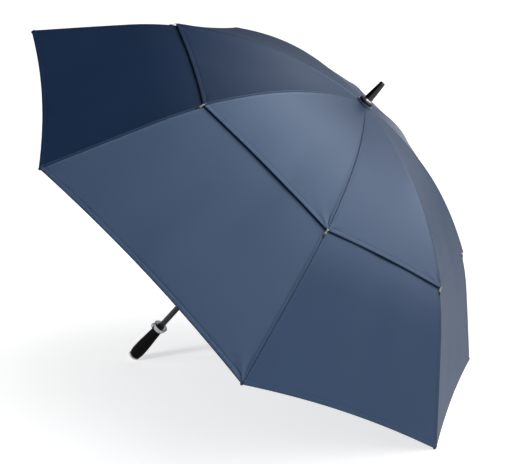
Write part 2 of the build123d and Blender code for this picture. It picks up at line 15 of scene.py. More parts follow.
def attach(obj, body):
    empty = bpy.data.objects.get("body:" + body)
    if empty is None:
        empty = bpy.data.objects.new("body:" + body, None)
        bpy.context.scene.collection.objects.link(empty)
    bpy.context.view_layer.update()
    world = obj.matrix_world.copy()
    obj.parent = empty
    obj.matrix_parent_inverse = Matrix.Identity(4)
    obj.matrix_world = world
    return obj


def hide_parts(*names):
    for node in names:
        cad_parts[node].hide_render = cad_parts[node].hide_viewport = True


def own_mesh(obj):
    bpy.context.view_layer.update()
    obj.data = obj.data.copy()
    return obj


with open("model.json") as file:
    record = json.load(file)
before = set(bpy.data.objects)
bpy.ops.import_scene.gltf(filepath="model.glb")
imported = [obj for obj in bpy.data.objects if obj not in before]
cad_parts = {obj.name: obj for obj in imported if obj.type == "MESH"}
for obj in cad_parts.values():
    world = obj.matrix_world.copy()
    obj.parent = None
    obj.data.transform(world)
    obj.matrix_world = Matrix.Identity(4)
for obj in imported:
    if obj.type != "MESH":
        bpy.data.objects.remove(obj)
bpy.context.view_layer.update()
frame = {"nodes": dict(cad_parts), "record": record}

# Sizes, as the CAD has them ------------------------------------------------------------------------
RIM_RADIUS = 0.640
GORES = 8
HALF_GORE = radians(180 / GORES)
NARROW = cos(HALF_GORE)
MAIN_STATIONS = [(0.016, 2.0), (0.33, 15.5), (0.56, 29.0), (0.76, 42.5), (1.0, 43.3)]
VENT_STATIONS = [(0.012, 1.0), (0.33, 15.1), (0.66, 31.6)]
VENT_END_HEIGHT = 0.3255 * RIM_RADIUS
VENT_RADIUS = 0.647 * RIM_RADIUS
MAIN_INNER_RADIUS = 0.55 * RIM_RADIUS
VENT_INNER_RADIUS = 0.0152
HEM_RADIUS = RIM_RADIUS - 0.0015
HEM_SCALLOP = 0.0135
FLOOR_SCALLOP = 0.004
HANDLE_END = -0.550
CLOTH = 0.0004

# The shaft's frame -----------------------------------------------------------------------------------
mounts = {mount["name"]: mount for mount in frame["record"]["mounts"]}
UP = Vector(mounts["shaft"]["axis"]).normalized()
CENTRE = Vector(mounts["handle_end"]["pos_m"]) - UP * HANDLE_END
FLOOR_SIDE = Vector((UP.z, 0, -UP.x))
LEFT_SIDE = UP.cross(FLOOR_SIDE)


def outward(azimuth):
    """Unit vector away from the shaft."""
    return FLOOR_SIDE * cos(azimuth) + LEFT_SIDE * sin(azimuth)


def tangent(azimuth):
    """Unit vector round the shaft."""
    return UP.cross(outward(azimuth))


def place(azimuth, radius, height, across=0.0):
    """A point in the row's frame from its place in the shaft's own frame."""
    return CENTRE + outward(azimuth) * radius + UP * height + tangent(azimuth) * across


class Profile:
    """A line of tangent arcs through (radius, slope) stations, ending at a given height."""

    def __init__(self, stations, end_height):
        self.radii = [radius for radius, _ in stations]
        self.slopes = [radians(slope) for _, slope in stations]
        self.heights = [end_height]
        for i in range(len(stations) - 1, 0, -1):
            run = self.radii[i] - self.radii[i - 1]
            drop = run * tan((self.slopes[i] + self.slopes[i - 1]) / 2)
            self.heights.insert(0, self.heights[0] + drop)
        self.table_radii = np.linspace(self.radii[0] - 0.01, self.radii[-1] + 0.02, 3000)
        self.table = np.array([self.exact(radius) for radius in self.table_radii])

    def exact(self, radius):
        """Height and slope at a radius."""
        inner = [k for k in range(len(self.radii) - 1) if self.radii[k] <= radius]
        i = inner[-1] if inner else 0
        share = (radius - self.radii[i]) / (self.radii[i + 1] - self.radii[i])
        first, last = sin(self.slopes[i]), sin(self.slopes[i + 1])
        slope = asin(first + share * (last - first))
        height = self.heights[i] - (radius - self.radii[i]) * tan((self.slopes[i] + slope) / 2)
        return height, slope

    def at(self, radius):
        """Heights and slopes at an array of radii."""
        height = np.interp(radius, self.table_radii, self.table[:, 0])
        slope = np.interp(radius, self.table_radii, self.table[:, 1])
        return height, slope

    def narrowed(self, share):
        """The same line seen in the plane halfway between two ribs."""
        stations = [
            (radius * share, degrees(atan(tan(slope) / share)))
            for radius, slope in zip(self.radii, self.slopes)
        ]
        return Profile(stations, self.heights[-1])


main_rib_line = Profile([(s * RIM_RADIUS, slope) for s, slope in MAIN_STATIONS], 0.0)
vent_rib_line = Profile([(s * RIM_RADIUS, slope) for s, slope in VENT_STATIONS], VENT_END_HEIGHT)
main_line = main_rib_line.narrowed(NARROW)
vent_line = vent_rib_line.narrowed(NARROW)


# Mesh helpers ----------------------------------------------------------------------------------------
def make_object(name, points, faces, material):
    """A mesh object from an (n, 3) array and lists of corner indices."""
    mesh = bpy.data.meshes.new(name)
    mesh.from_pydata([tuple(p) for p in points], [], faces)
    mesh.validate()
    mesh.materials.append(material)
    mesh.polygons.foreach_set("use_smooth", [True] * len(mesh.polygons))
    obj = bpy.data.objects.new(name, mesh)
    bpy.context.scene.collection.objects.link(obj)
    return obj


def apply_modifiers(obj):
    """Replace the object's mesh by what its modifiers make."""
    bpy.context.view_layer.update()
    graph = bpy.context.evaluated_depsgraph_get()
    mesh = bpy.data.meshes.new_from_object(
        obj.evaluated_get(graph), preserve_all_data_layers=True, depsgraph=graph
    )
    obj.modifiers.clear()
    obj.data = mesh
    return obj


def grid_faces(rows, columns):
    """Quads of a rows x columns grid of points, numbered row by row."""
    return [
        (i * columns + j, i * columns + j + 1, (i + 1) * columns + j + 1, (i + 1) * columns + j)
        for i in range(rows - 1)
        for j in range(columns - 1)
    ]


# Node helpers ----------------------------------------------------------------------------------------
def node(tree, kind, inputs=None, **settings):
    """A shader node with its settings, its values and its links."""
    made = tree.nodes.new(kind)
    for key, value in settings.items():
        setattr(made, key, value)
    for key, value in (inputs or {}).items():
        if isinstance(value, bpy.types.NodeSocket):
            tree.links.new(value, made.inputs[key])
        else:
            made.inputs[key].default_value = value
    return made


def maths(tree, operation, a, b=0.0, c=0.0):
    """A Math node's output."""
    return node(tree, "ShaderNodeMath", {0: a, 1: b, 2: c}, operation=operation).outputs[0]


def start_material(name):
    """A new material with its node tree and its shader."""
    material = bpy.data.materials.new(name)
    material.use_nodes = True
    return material, material.node_tree, material.node_tree.nodes["Principled BSDF"]


def ramp(tree, factor, stops):
    """A colour ramp through (position, colour) stops."""
    made = node(tree, "ShaderNodeValToRGB", {"Fac": factor})
    elements = made.color_ramp.elements
    while len(elements) < len(stops):
        elements.new(0.5)
    for element, (position, colour) in zip(elements, stops):
        element.position = position
        element.color = (*colour, 1)
    return made.outputs["Color"]


def noise_at(tree, vector, scale, detail=3.0, roughness=0.5):
    """A noise texture's output, about 0 to 1."""
    return node(
        tree,
        "ShaderNodeTexNoise",
        {"Vector": vector, "Scale": scale, "Detail": detail, "Roughness": roughness},
    ).outputs["Fac"]


def bump(tree, height, distance, strength=1.0, normal=None):
    """The normal that a height map gives, on top of another normal if there is one."""
    inputs = {"Height": height, "Distance": distance, "Strength": strength}
    if normal is not None:
        inputs["Normal"] = normal
    return node(tree, "ShaderNodeBump", inputs).outputs["Normal"]


# Materials -------------------------------------------------------------------------------------------
WEAVE_PITCH = 0.00055
SEAM_SHADE = 0.0026
RIM_SHADE = 0.0020
PUCKER_PITCH = 0.0075
EULER = 2.718
SEAM_PUCKER_REACH = 0.0055
HEM_PUCKER_REACH = 0.0060
PUCKER_HEIGHT = 0.00012
WEAVE_HEIGHT = 0.00003


def cloth_material(name, base, dark, light):
    """Navy pongee: plain weave, faint slubs and colour drift, puckers along its seams and hems, and painted shade
    darkening the cloth along both.
    """
    material, tree, shader = start_material(name)
    cloth = node(tree, "ShaderNodeUVMap", uv_map="cloth").outputs["UV"]
    edges = node(tree, "ShaderNodeUVMap", uv_map="edges").outputs["UV"]
    axes = node(tree, "ShaderNodeSeparateXYZ", {0: cloth})
    edge = node(tree, "ShaderNodeSeparateXYZ", {0: edges})
    warp = maths(tree, "SINE", maths(tree, "MULTIPLY", axes.outputs["X"], 2 * pi / WEAVE_PITCH))
    weft = maths(tree, "SINE", maths(tree, "MULTIPLY", axes.outputs["Y"], 2 * pi / WEAVE_PITCH))
    weave = maths(tree, "MULTIPLY", warp, weft)
    drift = noise_at(tree, cloth, 7.0, 2.0)
    slub_axes = node(tree, "ShaderNodeMapping", {"Vector": cloth, "Scale": (1.0, 14.0, 1.0)})
    slubs = noise_at(tree, slub_axes.outputs[0], 130.0, 2.0)
    tone = maths(tree, "MULTIPLY_ADD", slubs, 0.30, maths(tree, "MULTIPLY", drift, 0.45))
    tone = maths(tree, "MULTIPLY_ADD", weave, 0.06, tone)
    colour = ramp(tree, tone, [(0.18, dark), (0.38, base), (0.60, light)])
    # Painted shade: the colour is pulled towards near-black in a narrow band along each seam crease, and a painted
    # shadow line runs along each hem edge.
    seam_line = maths(tree, "SUBTRACT", 1.0, maths(tree, "DIVIDE", edge.outputs["X"], SEAM_SHADE))
    seam_line = maths(tree, "MAXIMUM", seam_line, 0.0)
    rim_line = maths(tree, "SUBTRACT", 1.0, maths(tree, "DIVIDE", edge.outputs["Y"], RIM_SHADE))
    rim_line = maths(tree, "MAXIMUM", rim_line, 0.0)
    shade = maths(tree, "MULTIPLY", maths(tree, "MAXIMUM", seam_line, rim_line), 0.88)
    seam_and_hem_shade = (*[c * 0.25 for c in dark], 1)
    mixed = node(tree, "ShaderNodeMix", {"Factor": shade, "A": colour, "B": seam_and_hem_shade}, data_type="RGBA")
    tree.links.new(mixed.outputs["Result"], shader.inputs["Base Color"])
    wander = maths(tree, "MULTIPLY", noise_at(tree, cloth, 35.0, 1.0), 9.0)
    along_seam = maths(tree, "MULTIPLY_ADD", axes.outputs["Y"], 2 * pi / PUCKER_PITCH, wander)
    near_seam = maths(tree, "POWER", EULER, maths(tree, "DIVIDE", edge.outputs["X"], -SEAM_PUCKER_REACH))
    seam_pucker = maths(tree, "MULTIPLY", maths(tree, "SINE", along_seam), near_seam)
    along_hem = maths(tree, "MULTIPLY_ADD", axes.outputs["X"], 2 * pi / PUCKER_PITCH, wander)
    near_hem = maths(tree, "POWER", EULER, maths(tree, "DIVIDE", edge.outputs["Y"], -HEM_PUCKER_REACH))
    hem_pucker = maths(tree, "MULTIPLY", maths(tree, "SINE", along_hem), near_hem)
    puckers = bump(tree, maths(tree, "ADD", seam_pucker, hem_pucker), PUCKER_HEIGHT, 0.8)
    weave_bump = bump(tree, maths(tree, "ADD", weave, slubs), WEAVE_HEIGHT, 0.5, puckers)
    tree.links.new(weave_bump, shader.inputs["Normal"])
    rough = maths(tree, "MULTIPLY_ADD", slubs, 0.10, 0.35)
    rough = maths(tree, "MULTIPLY_ADD", seam_line, 0.35, rough)
    tree.links.new(rough, shader.inputs["Roughness"])
    shader.inputs["Specular IOR Level"].default_value = 0.92
    shader.inputs["Specular Tint"].default_value = (0.55, 0.73, 1.0, 1)
    shader.inputs["Sheen Weight"].default_value = 0.02
    shader.inputs["Sheen Roughness"].default_value = 0.40
    shader.inputs["Sheen Tint"].default_value = (0.55, 0.70, 1.0, 1)
    return material


def moulded_material(name, base, roughness, grain, depth, coat=0.0, metallic=0.0, worn=None):
    """Plastic, paint or metal with a fine grain, uneven gloss and lighter rubbed edges."""
    material, tree, shader = start_material(name)
    place_at = node(tree, "ShaderNodeTexCoord").outputs["Object"]
    fine = noise_at(tree, place_at, grain, 4.0, 0.6)
    broad = noise_at(tree, place_at, 45.0, 3.0)
    low = tuple(c * 0.82 for c in base)
    high = tuple(min(1.0, c * 1.22 + 0.002) for c in base)
    tone = maths(tree, "MULTIPLY_ADD", fine, 0.35, maths(tree, "MULTIPLY", broad, 0.65))
    colour = ramp(tree, tone, [(0.3, low), (0.7, high)])
    if worn is not None:
        edge = node(tree, "ShaderNodeNewGeometry").outputs["Pointiness"]
        rubbed = maths(tree, "MULTIPLY", maths(tree, "SUBTRACT", edge, 0.53), 9.0)
        rubbed = node(tree, "ShaderNodeClamp", {"Value": maths(tree, "MULTIPLY", rubbed, broad)})
        inputs = {"Factor": rubbed.outputs[0], "A": colour, "B": (*worn, 1)}
        mixed = node(tree, "ShaderNodeMix", inputs, data_type="RGBA")
        colour = mixed.outputs["Result"]
    tree.links.new(colour, shader.inputs["Base Color"])
    rough = maths(tree, "MULTIPLY_ADD", broad, 0.16, roughness - 0.08)
    tree.links.new(rough, shader.inputs["Roughness"])
    tree.links.new(bump(tree, fine, depth, 0.6), shader.inputs["Normal"])
    shader.inputs["Metallic"].default_value = metallic
    shader.inputs["Coat Weight"].default_value = coat
    shader.inputs["Coat Roughness"].default_value = 0.12
    return material


def foam_material(name, base):
    """Closed-cell foam rubber: a fine pebbled skin with pores."""
    material, tree, shader = start_material(name)
    place_at = node(tree, "ShaderNodeTexCoord").outputs["Object"]
    cells = node(tree, "ShaderNodeTexVoronoi", {"Vector": place_at, "Scale": 1500.0}).outputs["Distance"]
    broad = noise_at(tree, place_at, 60.0, 4.0)
    low = tuple(c * 0.7 for c in base)
    high = tuple(c * 1.5 for c in base)
    tone = maths(tree, "MULTIPLY_ADD", cells, 0.5, maths(tree, "MULTIPLY", broad, 0.5))
    tree.links.new(ramp(tree, tone, [(0.25, low), (0.75, high)]), shader.inputs["Base Color"])
    rough = maths(tree, "MULTIPLY_ADD", broad, 0.2, 0.62)
    tree.links.new(rough, shader.inputs["Roughness"])
    tree.links.new(bump(tree, cells, 0.00012, 0.7), shader.inputs["Normal"])
    shader.inputs["Specular IOR Level"].default_value = 0.25
    return material


def thread_material(name, base):
    """Twisted thread: fine lines round each stitch."""
    material, tree, shader = start_material(name)
    place_at = node(tree, "ShaderNodeTexCoord").outputs["Object"]
    inputs = {"Vector": place_at, "Scale": 420.0, "Distortion": 2.0}
    twist = node(tree, "ShaderNodeTexWave", inputs).outputs["Fac"]
    low = tuple(c * 0.65 for c in base)
    high = tuple(min(1.0, c * 1.25) for c in base)
    tree.links.new(ramp(tree, twist, [(0.2, low), (0.8, high)]), shader.inputs["Base Color"])
    rough = maths(tree, "MULTIPLY_ADD", twist, 0.15, 0.6)
    tree.links.new(rough, shader.inputs["Roughness"])
    tree.links.new(bump(tree, twist, 0.00005, 0.6), shader.inputs["Normal"])
    shader.inputs["Sheen Weight"].default_value = 0.2
    return material


CLOTH_BASE = (0.0105, 0.032, 0.086)
CLOTH_DARK = (0.0090, 0.028, 0.077)
CLOTH_LIGHT = (0.0125, 0.037, 0.097)
navy = cloth_material("navy_pongee", CLOTH_BASE, CLOTH_DARK, CLOTH_LIGHT)
thread = thread_material("navy_thread", (0.022, 0.045, 0.095))
elastic = thread_material("white_elastic", (0.74, 0.73, 0.62))
tape_cloth = thread_material("navy_tape", (0.010, 0.030, 0.080))
tab_black = thread_material("dark_tab", (0.010, 0.012, 0.018))
gloss_black = moulded_material(
    "gloss_black_plastic", (0.006, 0.006, 0.007), 0.24, 900.0, 0.00002, coat=0.5, worn=(0.05, 0.05, 0.055)
)
satin_black = moulded_material(
    "satin_black_plastic", (0.006, 0.005, 0.008), 0.42, 1100.0, 0.00003, worn=(0.03, 0.03, 0.035)
)
paint_black = moulded_material(
    "black_enamel", (0.011, 0.011, 0.013), 0.28, 700.0, 0.00002, coat=0.3, worn=(0.10, 0.10, 0.11)
)
fibre_black = moulded_material(
    "black_fibre_rod", (0.013, 0.013, 0.014), 0.48, 1600.0, 0.00003, worn=(0.05, 0.05, 0.05)
)
foam_black = foam_material("black_foam", (0.0065, 0.0065, 0.007))
silver = moulded_material("satin_silver", (0.78, 0.78, 0.79), 0.36, 1300.0, 0.00002, coat=0.2, metallic=0.25)
chrome = moulded_material("bright_ring", (0.50, 0.49, 0.50), 0.24, 900.0, 0.00001, metallic=0.9)
steel = moulded_material("steel", (0.45, 0.45, 0.46), 0.32, 1200.0, 0.00002, metallic=1.0)
rim_silver = moulded_material("rosette_silver", (0.42, 0.50, 0.53), 0.30, 900.0, 0.00002, metallic=0.7)
core_grey = moulded_material("core_plastic", (0.05, 0.05, 0.055), 0.5, 900.0, 0.00003)

FINISHES = {
    "shaft_tube": paint_black,
    "top_notch": satin_black,
    "notch_pins": steel,
    "rosette": rim_silver,
    "ferrule_collar": satin_black,
    "ferrule_ring": chrome,
    "ferrule": gloss_black,
    "runner": satin_black,
    "runner_pins": steel,
    "rib_": fibre_black,
    "rib_end_": fibre_black,
    "stretcher_": paint_black,
    "handle_core": core_grey,
    "handle_grip": foam_black,
    "handle_cup": silver,
    "handle_boss": satin_black,
    "end_cap": silver,
    "button_bezel": gloss_black,
    "push_button": silver,
    "button_spring": steel,
}
for node_name, obj in frame["nodes"].items():
    matching = [
        key for key in FINISHES if node_name == key or (key[-1] == "_" and node_name.startswith(key))
    ]
    if matching:
        finish = FINISHES[max(matching, key=len)]
        obj.data.materials.clear()
        obj.data.materials.append(finish)


# Canopy ----------------------------------------------------------------------------------------------
EDGE_STEPS = [0.0, 0.0007, 0.0014, 0.0022, 0.0032, 0.0046, 0.0070, 0.0115, 0.0190, 0.0300]
HEM_STEPS = [0.016, 0.012, 0.0095, 0.0083, 0.0075, 0.0067, 0.0052, 0.0030, 0.0012, 0.0003]
# The hem's turned-under fold: distance in from the rim, height off the cloth.
HEM_FOLD = [
    (-0.0003, -0.0002),
    (-0.0004, -0.0005),
    (-0.0002, -0.0008),
    (0.0008, -0.0010),
    (0.004, -0.0010),
    (0.0085, -0.0010),
    (0.0090, -0.0009),
]
MAIN_GRID = (44, 30)
VENT_GRID = (60, 26)
MAIN_SAG = 0.012
VENT_SAG = 0.010
MAIN_RIPPLE = 0.0016
VENT_RIPPLE = 0.0012
VENT_SEED = 20
STITCH_PITCH = 0.0032
STITCH_LENGTH = 0.0024
STITCH_THICKNESS = 0.00034
STITCH_LIFT = 0.00010
KEEP_MAIN = 0.120
KEEP_VENT = 0.25
STITCH_LINE = 0.0075
VENT_DROP = 0.0066
VENT_DROP_START = 0.45
CORNER_FOLD = 0.0016
CORNER_FOLD_REACH = 0.013


def hem_drop(line, radius):
    """The vent's elastic loops draw its outer part down towards the main canopy."""
    if line not in (vent_line, vent_rib_line):
        return np.zeros_like(radius)
    share = np.clip((radius / VENT_RADIUS - VENT_DROP_START) / (1 - VENT_DROP_START), 0, 1)
    return VENT_DROP * share**2 * (3 - 2 * share)


def rim_at(corner, across, resting):
    """Radius of the hem in the gore's mid plane; the hem that rests on the floor is pulled straighter."""
    return corner * (1 - (FLOOR_SCALLOP if resting else HEM_SCALLOP) * (1 - across**2))


def cloth_offset(seed, line, radius, across, seam, hem, sag):
    """How far the cloth lies off the CAD's straight panel, along its normal."""
    width = 2 * radius * tan(HALF_GORE)
    off = -sag * width * (1 - across**2) - hem_drop(line, radius / (NARROW + (1 - NARROW) * across**2))
    off += -0.0010 * np.exp(-((seam / 0.0012) ** 2)) + 0.0004 * np.exp(-(((seam - 0.0030) / 0.0014) ** 2))
    off += -0.00025 * np.exp(-(((hem - STITCH_LINE) / 0.0010) ** 2))
    reach = np.hypot(seam, hem) / CORNER_FOLD_REACH
    turn = np.arctan2(hem, seam)
    off += CORNER_FOLD * np.sin(7.0 * turn + seed + np.sign(across)) * np.sin(2 * turn) * reach * np.exp(-reach)
    return off


def make_sheet(name, azimuth, line, inner, outer, sag, rows, columns, seed, ripple):
    """One gore's cloth: a curved sheet with folded hem, seam welts, sag and soft ripples."""
    corner = outer * NARROW
    edge_columns = len(EDGE_STEPS)
    hem_slope = line.at(np.array([corner]))[1][0]
    body = [("body", v) for v in np.linspace(0, 1, rows)[:-1]]
    hem_rows = [("hem", e, 0.0) for e in HEM_STEPS] + [("hem", e, o) for e, o in HEM_FOLD]
    all_rows = body + hem_rows
    count = 2 * edge_columns + columns
    points = np.zeros((len(all_rows), count, 3))
    cloth_uv = np.zeros((len(all_rows), count, 2))
    edge_uv = np.zeros((len(all_rows), count, 2))
    out, side = np.array(outward(azimuth)), np.array(tangent(azimuth))
    up, centre = np.array(UP), np.array(CENTRE)
    hem_start = HEM_STEPS[0]
    for i, row in enumerate(all_rows):
        nominal = (inner * NARROW + row[1] * (corner - inner * NARROW)) if row[0] == "body" else corner
        half = nominal * tan(HALF_GORE)
        scale = min(1.0, half / 0.075)
        near = np.array(EDGE_STEPS) * scale
        middle = np.linspace(half - near[-1], -(half - near[-1]), columns + 2)[1:-1]
        y = np.concatenate([half - near, middle, -(half - near)[::-1]])
        across = y / half
        seam = (half - np.abs(y)) / scale
        rim = rim_at(corner, across, seed == 1)
        lift = np.zeros(count)
        if row[0] == "body":
            last = rim - hem_start * cos(hem_slope)
            radius = inner * NARROW + row[1] * (last - inner * NARROW)
            hem = (rim - radius) / cos(hem_slope)
        else:
            radius = rim - row[1] * cos(hem_slope)
            hem = np.full(count, abs(row[1]))
            lift += row[2]
        lift += cloth_offset(seed, line, radius, across, seam, hem, sag)
        for j in range(count):
            fade = (1 - across[j] ** 2) * min(1.0, hem[j] / 0.02 + 0.3)
            at = Vector((y[j] * 11 + seed * 7.3, radius[j] * 6, seed))
            lift[j] += ripple * fade * noise.noise(at)
        height, slope = line.at(radius)
        rho = radius + lift * np.sin(slope)
        rise = height + lift * np.cos(slope)
        across_at = across * rho * tan(HALF_GORE)
        points[i] = centre + rho[:, None] * out + rise[:, None] * up + across_at[:, None] * side
        distance = (corner - radius) / cos(hem_slope)
        cloth_uv[i] = np.stack([across_at, distance], 1)
        edge_uv[i] = np.stack([seam, hem], 1)
    faces = grid_faces(len(all_rows), count)
    faces = [tuple(reversed(face)) for face in faces]
    obj = make_object(name, points.reshape(-1, 3), faces, navy)
    for layer, values in (("cloth", cloth_uv.reshape(-1, 2)), ("edges", edge_uv.reshape(-1, 2))):
        uv = obj.data.uv_layers.new(name=layer)
        corners = np.zeros(len(obj.data.loops), int)
        obj.data.loops.foreach_get("vertex_index", corners)
        uv.data.foreach_set("uv", values[corners].astype(np.float32).ravel())
    thick = obj.modifiers.new("cloth", "SOLIDIFY")
    thick.thickness = CLOTH
    thick.offset = -1
    apply_modifiers(obj)
    flat = points[: len(all_rows) - len(HEM_FOLD)]
    steps = np.linalg.norm(np.diff(flat[:, count // 2], axis=0), axis=1).sum()
    return obj, float(steps)


def make_stitches(name, azimuth, line, outer, sag, seed):
    """A row of thread stitches along a hem."""
    corner = outer * NARROW
    slope = line.at(np.array([corner]))[1][0]
    half = corner * tan(HALF_GORE)
    number = int((2 * half - 0.012) / STITCH_PITCH)
    sides, rings = 6, [(0.0, 0.35), (0.18, 0.95), (0.5, 1.1), (0.82, 0.95), (1.0, 0.35)]
    points, faces = [], []
    for k in range(number):
        y = (k - (number - 1) / 2) * STITCH_PITCH
        path = []
        for share, girth in rings:
            across = (y + (share - 0.5) * STITCH_LENGTH) / half
            rim = rim_at(corner, across, seed == 1)
            radius = rim - STITCH_LINE * cos(slope)
            seam = half - abs(across) * half
            lift = float(cloth_offset(seed, line, radius, across, seam, STITCH_LINE, sag)) + STITCH_LIFT
            height, s = line.at(np.array([radius]))
            dip = -0.00022 * (2 * abs(share - 0.5)) ** 2
            rho = radius + (lift + dip) * sin(s[0])
            rise = height[0] + (lift + dip) * cos(s[0])
            centre = place(azimuth, rho, rise, across * rho * tan(HALF_GORE))
            path.append((centre, girth))
        run = tangent(azimuth)
        normal = outward(azimuth) * sin(slope) + UP * cos(slope)
        third = run.cross(normal)
        base = len(points)
        for centre, girth in path:
            for a in range(sides):
                angle = 2 * pi * a / sides
                spoke = normal * cos(angle) + third * sin(angle)
                points.append(centre + spoke * STITCH_THICKNESS / 2 * girth)
        for r in range(len(rings) - 1):
            for a in range(sides):
                b = (a + 1) % sides
                low, high = base + r * sides, base + (r + 1) * sides
                faces.append((low + a, low + b, high + b, high + a))
        faces.append(tuple(base + a for a in reversed(range(sides))))
        faces.append(tuple(base + (len(rings) - 1) * sides + a for a in range(sides)))
    return make_object(name, np.array(points), faces, thread)


for number in range(1, GORES + 1):
    azimuth = 2 * (number - 1) * HALF_GORE
    vent_seed = number + VENT_SEED
    main_sheet, main_length = make_sheet(
        f"main_sheet_{number}", azimuth, main_line,
        MAIN_INNER_RADIUS, HEM_RADIUS, MAIN_SAG, *MAIN_GRID, number, MAIN_RIPPLE,
    )
    vent_sheet, vent_length = make_sheet(
        f"vent_sheet_{number}", azimuth, vent_line,
        VENT_INNER_RADIUS, VENT_RADIUS, VENT_SAG, *VENT_GRID, vent_seed, VENT_RIPPLE,
    )
    pieces = [
        (main_sheet, main_line, HEM_RADIUS, MAIN_INNER_RADIUS, main_length, "main", KEEP_MAIN, MAIN_SAG, number),
        (vent_sheet, vent_line, VENT_RADIUS, VENT_INNER_RADIUS, vent_length, "vent", KEEP_VENT, VENT_SAG, vent_seed),
    ]
    for sheet, line, outer, inner, length, kind, keep, sag, seed in pieces:
        body = f"{kind}_gore_{number}"
        stitches = make_stitches(f"{kind}_stitches_{number}", azimuth, line, outer, sag, seed)
        for piece in (sheet, stitches):
            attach(piece, body)
            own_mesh(piece)
        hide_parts(body)


# Loops, tabs and corner threads ------------------------------------------------------------------------
LOOP_THICKNESS = 0.0010
LOOP_HALF_WIDTH = 0.0009
TAB_SIZE = (0.0040, 0.0024, 0.0012)
TAB_RADIUS = VENT_RADIUS + 0.0022
TIP_BIND_RADIUS = RIM_RADIUS - 0.0050
TIP_BIND_SIZE = (0.0026, 0.0033)


def make_tube(name, paths, thickness, material, closed=False):
    """Round cord along each path of points, shaped by a smooth curve."""
    data = bpy.data.curves.new(name, "CURVE")
    data.dimensions = "3D"
    data.bevel_depth = thickness / 2
    data.bevel_resolution = 2
    data.use_fill_caps = not closed
    for path in paths:
        spline = data.splines.new("NURBS")
        spline.points.add(len(path) - 1)
        for point, spot in zip(spline.points, path):
            point.co = (*spot, 1)
        spline.order_u = 3
        spline.use_cyclic_u = closed
        spline.use_endpoint_u = not closed
        spline.resolution_u = 6
    maker = bpy.data.objects.new(name + "_line", data)
    bpy.context.scene.collection.objects.link(maker)
    bpy.context.view_layer.update()
    graph = bpy.context.evaluated_depsgraph_get()
    mesh = bpy.data.meshes.new_from_object(maker.evaluated_get(graph), depsgraph=graph)
    bpy.data.objects.remove(maker)
    mesh.name = name
    mesh.materials.clear()
    mesh.materials.append(material)
    mesh.polygons.foreach_set("use_smooth", [True] * len(mesh.polygons))
    obj = bpy.data.objects.new(name, mesh)
    bpy.context.scene.collection.objects.link(obj)
    return obj


def on_line(line, radius, off=0.0):
    """Radius and height of a point a little off a rib's line, along its normal."""
    height, slope = line.exact(radius)
    return radius + off * sin(slope), height + off * cos(slope)


def rib_frame(azimuth, line, radius):
    """Directions along the rib, round the shaft and off the cloth."""
    slope = line.exact(radius)[1]
    along = outward(azimuth) * cos(slope) - UP * sin(slope)
    return along, tangent(azimuth), outward(azimuth) * sin(slope) + UP * cos(slope)


def make_vent_loop(number, azimuth):
    """The elastic loop that holds a vent corner down to the seam of the main canopy."""
    start = on_line(vent_rib_line, VENT_RADIUS - 0.0022, 0.0006 - VENT_DROP)
    edge = on_line(vent_rib_line, VENT_RADIUS + 0.0010, 0.0002 - VENT_DROP)
    foot = on_line(main_rib_line, TAB_RADIUS - 0.0012, 0.0008)
    middle = (edge[0] + 0.0004, (edge[1] + foot[1]) / 2)
    side = [start, edge, middle, foot]
    path = [(*spot, -LOOP_HALF_WIDTH) for spot in side]
    path += [(*spot, LOOP_HALF_WIDTH) for spot in reversed(side)]
    points = [place(azimuth, radius, height, across) for radius, height, across in path]
    return make_tube(f"vent_loop_{number}", [points], LOOP_THICKNESS, elastic)


def make_tab(number, azimuth):
    """The bar-tacked tab that ties the loop's foot into the seam."""
    along, across, off = rib_frame(azimuth, main_rib_line, TAB_RADIUS)
    middle = place(azimuth, *on_line(main_rib_line, TAB_RADIUS, 0.0006))
    rows, columns = 9, 16
    points = []
    for i in range(rows):
        rise = pi * (i + 0.5) / rows - pi / 2
        for j in range(columns):
            turn = 2 * pi * j / columns
            girth = cos(rise) ** 0.5
            x = TAB_SIZE[0] * girth * np.sign(cos(turn)) * abs(cos(turn)) ** 0.6
            y = TAB_SIZE[1] * girth * np.sign(sin(turn)) * abs(sin(turn)) ** 0.6
            points.append(middle + along * x + across * y + off * TAB_SIZE[2] * sin(rise))
    faces = []
    for i in range(rows - 1):
        low, high = i * columns, (i + 1) * columns
        for j in range(columns):
            k = (j + 1) % columns
            faces.append((low + j, low + k, high + k, high + j))
    faces += [tuple(reversed(range(columns))), tuple(range((rows - 1) * columns, rows * columns))]
    return make_object(f"vent_tab_{number}", np.array(points), faces, tab_black)


def make_tip_thread(number, azimuth):
    """Turns of thread that bind the cloth's corner to the rib's end."""
    along, across, off = rib_frame(azimuth, main_rib_line, TIP_BIND_RADIUS)
    middle = place(azimuth, *on_line(main_rib_line, TIP_BIND_RADIUS, -0.0016))
    turns = []
    for k in range(3):
        ring = []
        for j in range(10):
            turn = 2 * pi * j / 10
            lean = 0.0003 * sin(turn + k)
            reach = across * TIP_BIND_SIZE[0] * cos(turn) + off * TIP_BIND_SIZE[1] * sin(turn)
            ring.append(middle + reach + along * (0.0007 * (k - 1) + lean))
        turns.append(ring)
    return make_tube(f"tip_thread_{number}", turns, 0.0006, thread, closed=True)


FOLD = radians(67.5)
RIB_HINGE = 0.014
VENT_TAPE_LEAST = 0.0035
TAPE_OVERLAP = 0.010
MAIN_TAPE_LEAST = 0.016
TAPE_FILL = 0.93
TAPE_DEPTH = 0.0009
TAPE_THICKNESS = 0.0003


def folded_radius(line, radius):
    """Radius of a rib's point once the frame is folded."""
    hinge_height = main_rib_line.exact(RIB_HINGE)[0]
    drop = hinge_height - line.exact(radius)[0]
    return RIB_HINGE + (radius - RIB_HINGE) * cos(FOLD) - drop * sin(FOLD)


